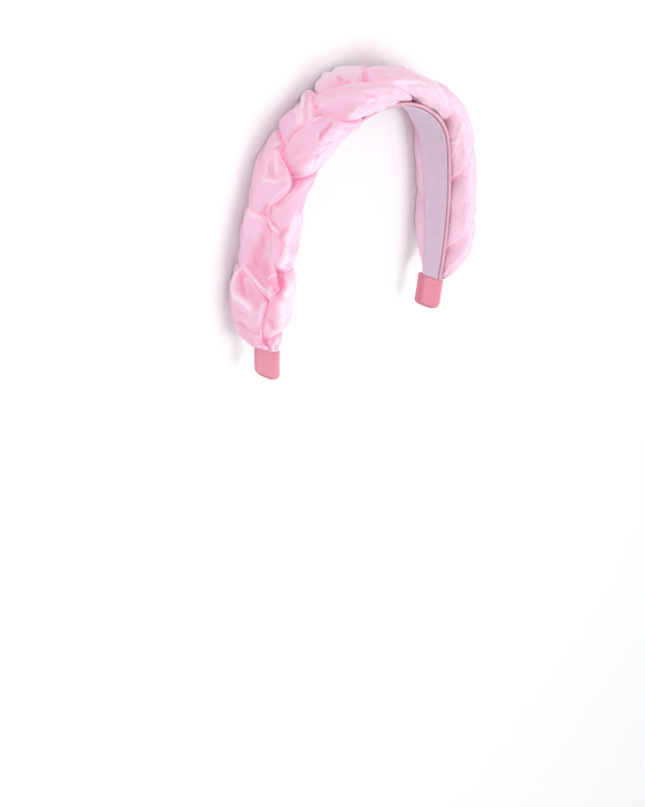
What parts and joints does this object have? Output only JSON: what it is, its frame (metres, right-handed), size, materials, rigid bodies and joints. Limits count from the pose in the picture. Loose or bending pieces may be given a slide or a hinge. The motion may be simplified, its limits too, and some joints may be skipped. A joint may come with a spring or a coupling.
{
  "type": "braided headband",
  "caption": "Padded headband of plaited shimmering fabric strands on a tapered hoop with ribbon-covered ends, lying on its side.",
  "frame": {"origin": "on the surface that the headband lies on, under the middle of the whole band", "axes": "+Y towards the crown, +X towards the wearer's left, +Z towards the front edge; the back edge is down"},
  "size_m": [0.1741, 0.1533, 0.0405],
  "materials": {
    "hoop_ribbon": "satin ribbon over a stiff band",
    "lining_ribbon": "soft matt ribbon",
    "tip_ribbon": "grosgrain ribbon",
    "organza": "shimmering organza over soft padding"
  },
  "bodies": {
    "root": {"hoop": "hoop_ribbon", "lining": "lining_ribbon", "tip_cover_right": "tip_ribbon", "tip_cover_left": "tip_ribbon", "strand_1": "organza", "strand_2": "organza", "strand_3": "organza"}
  },
  "joints": []
}
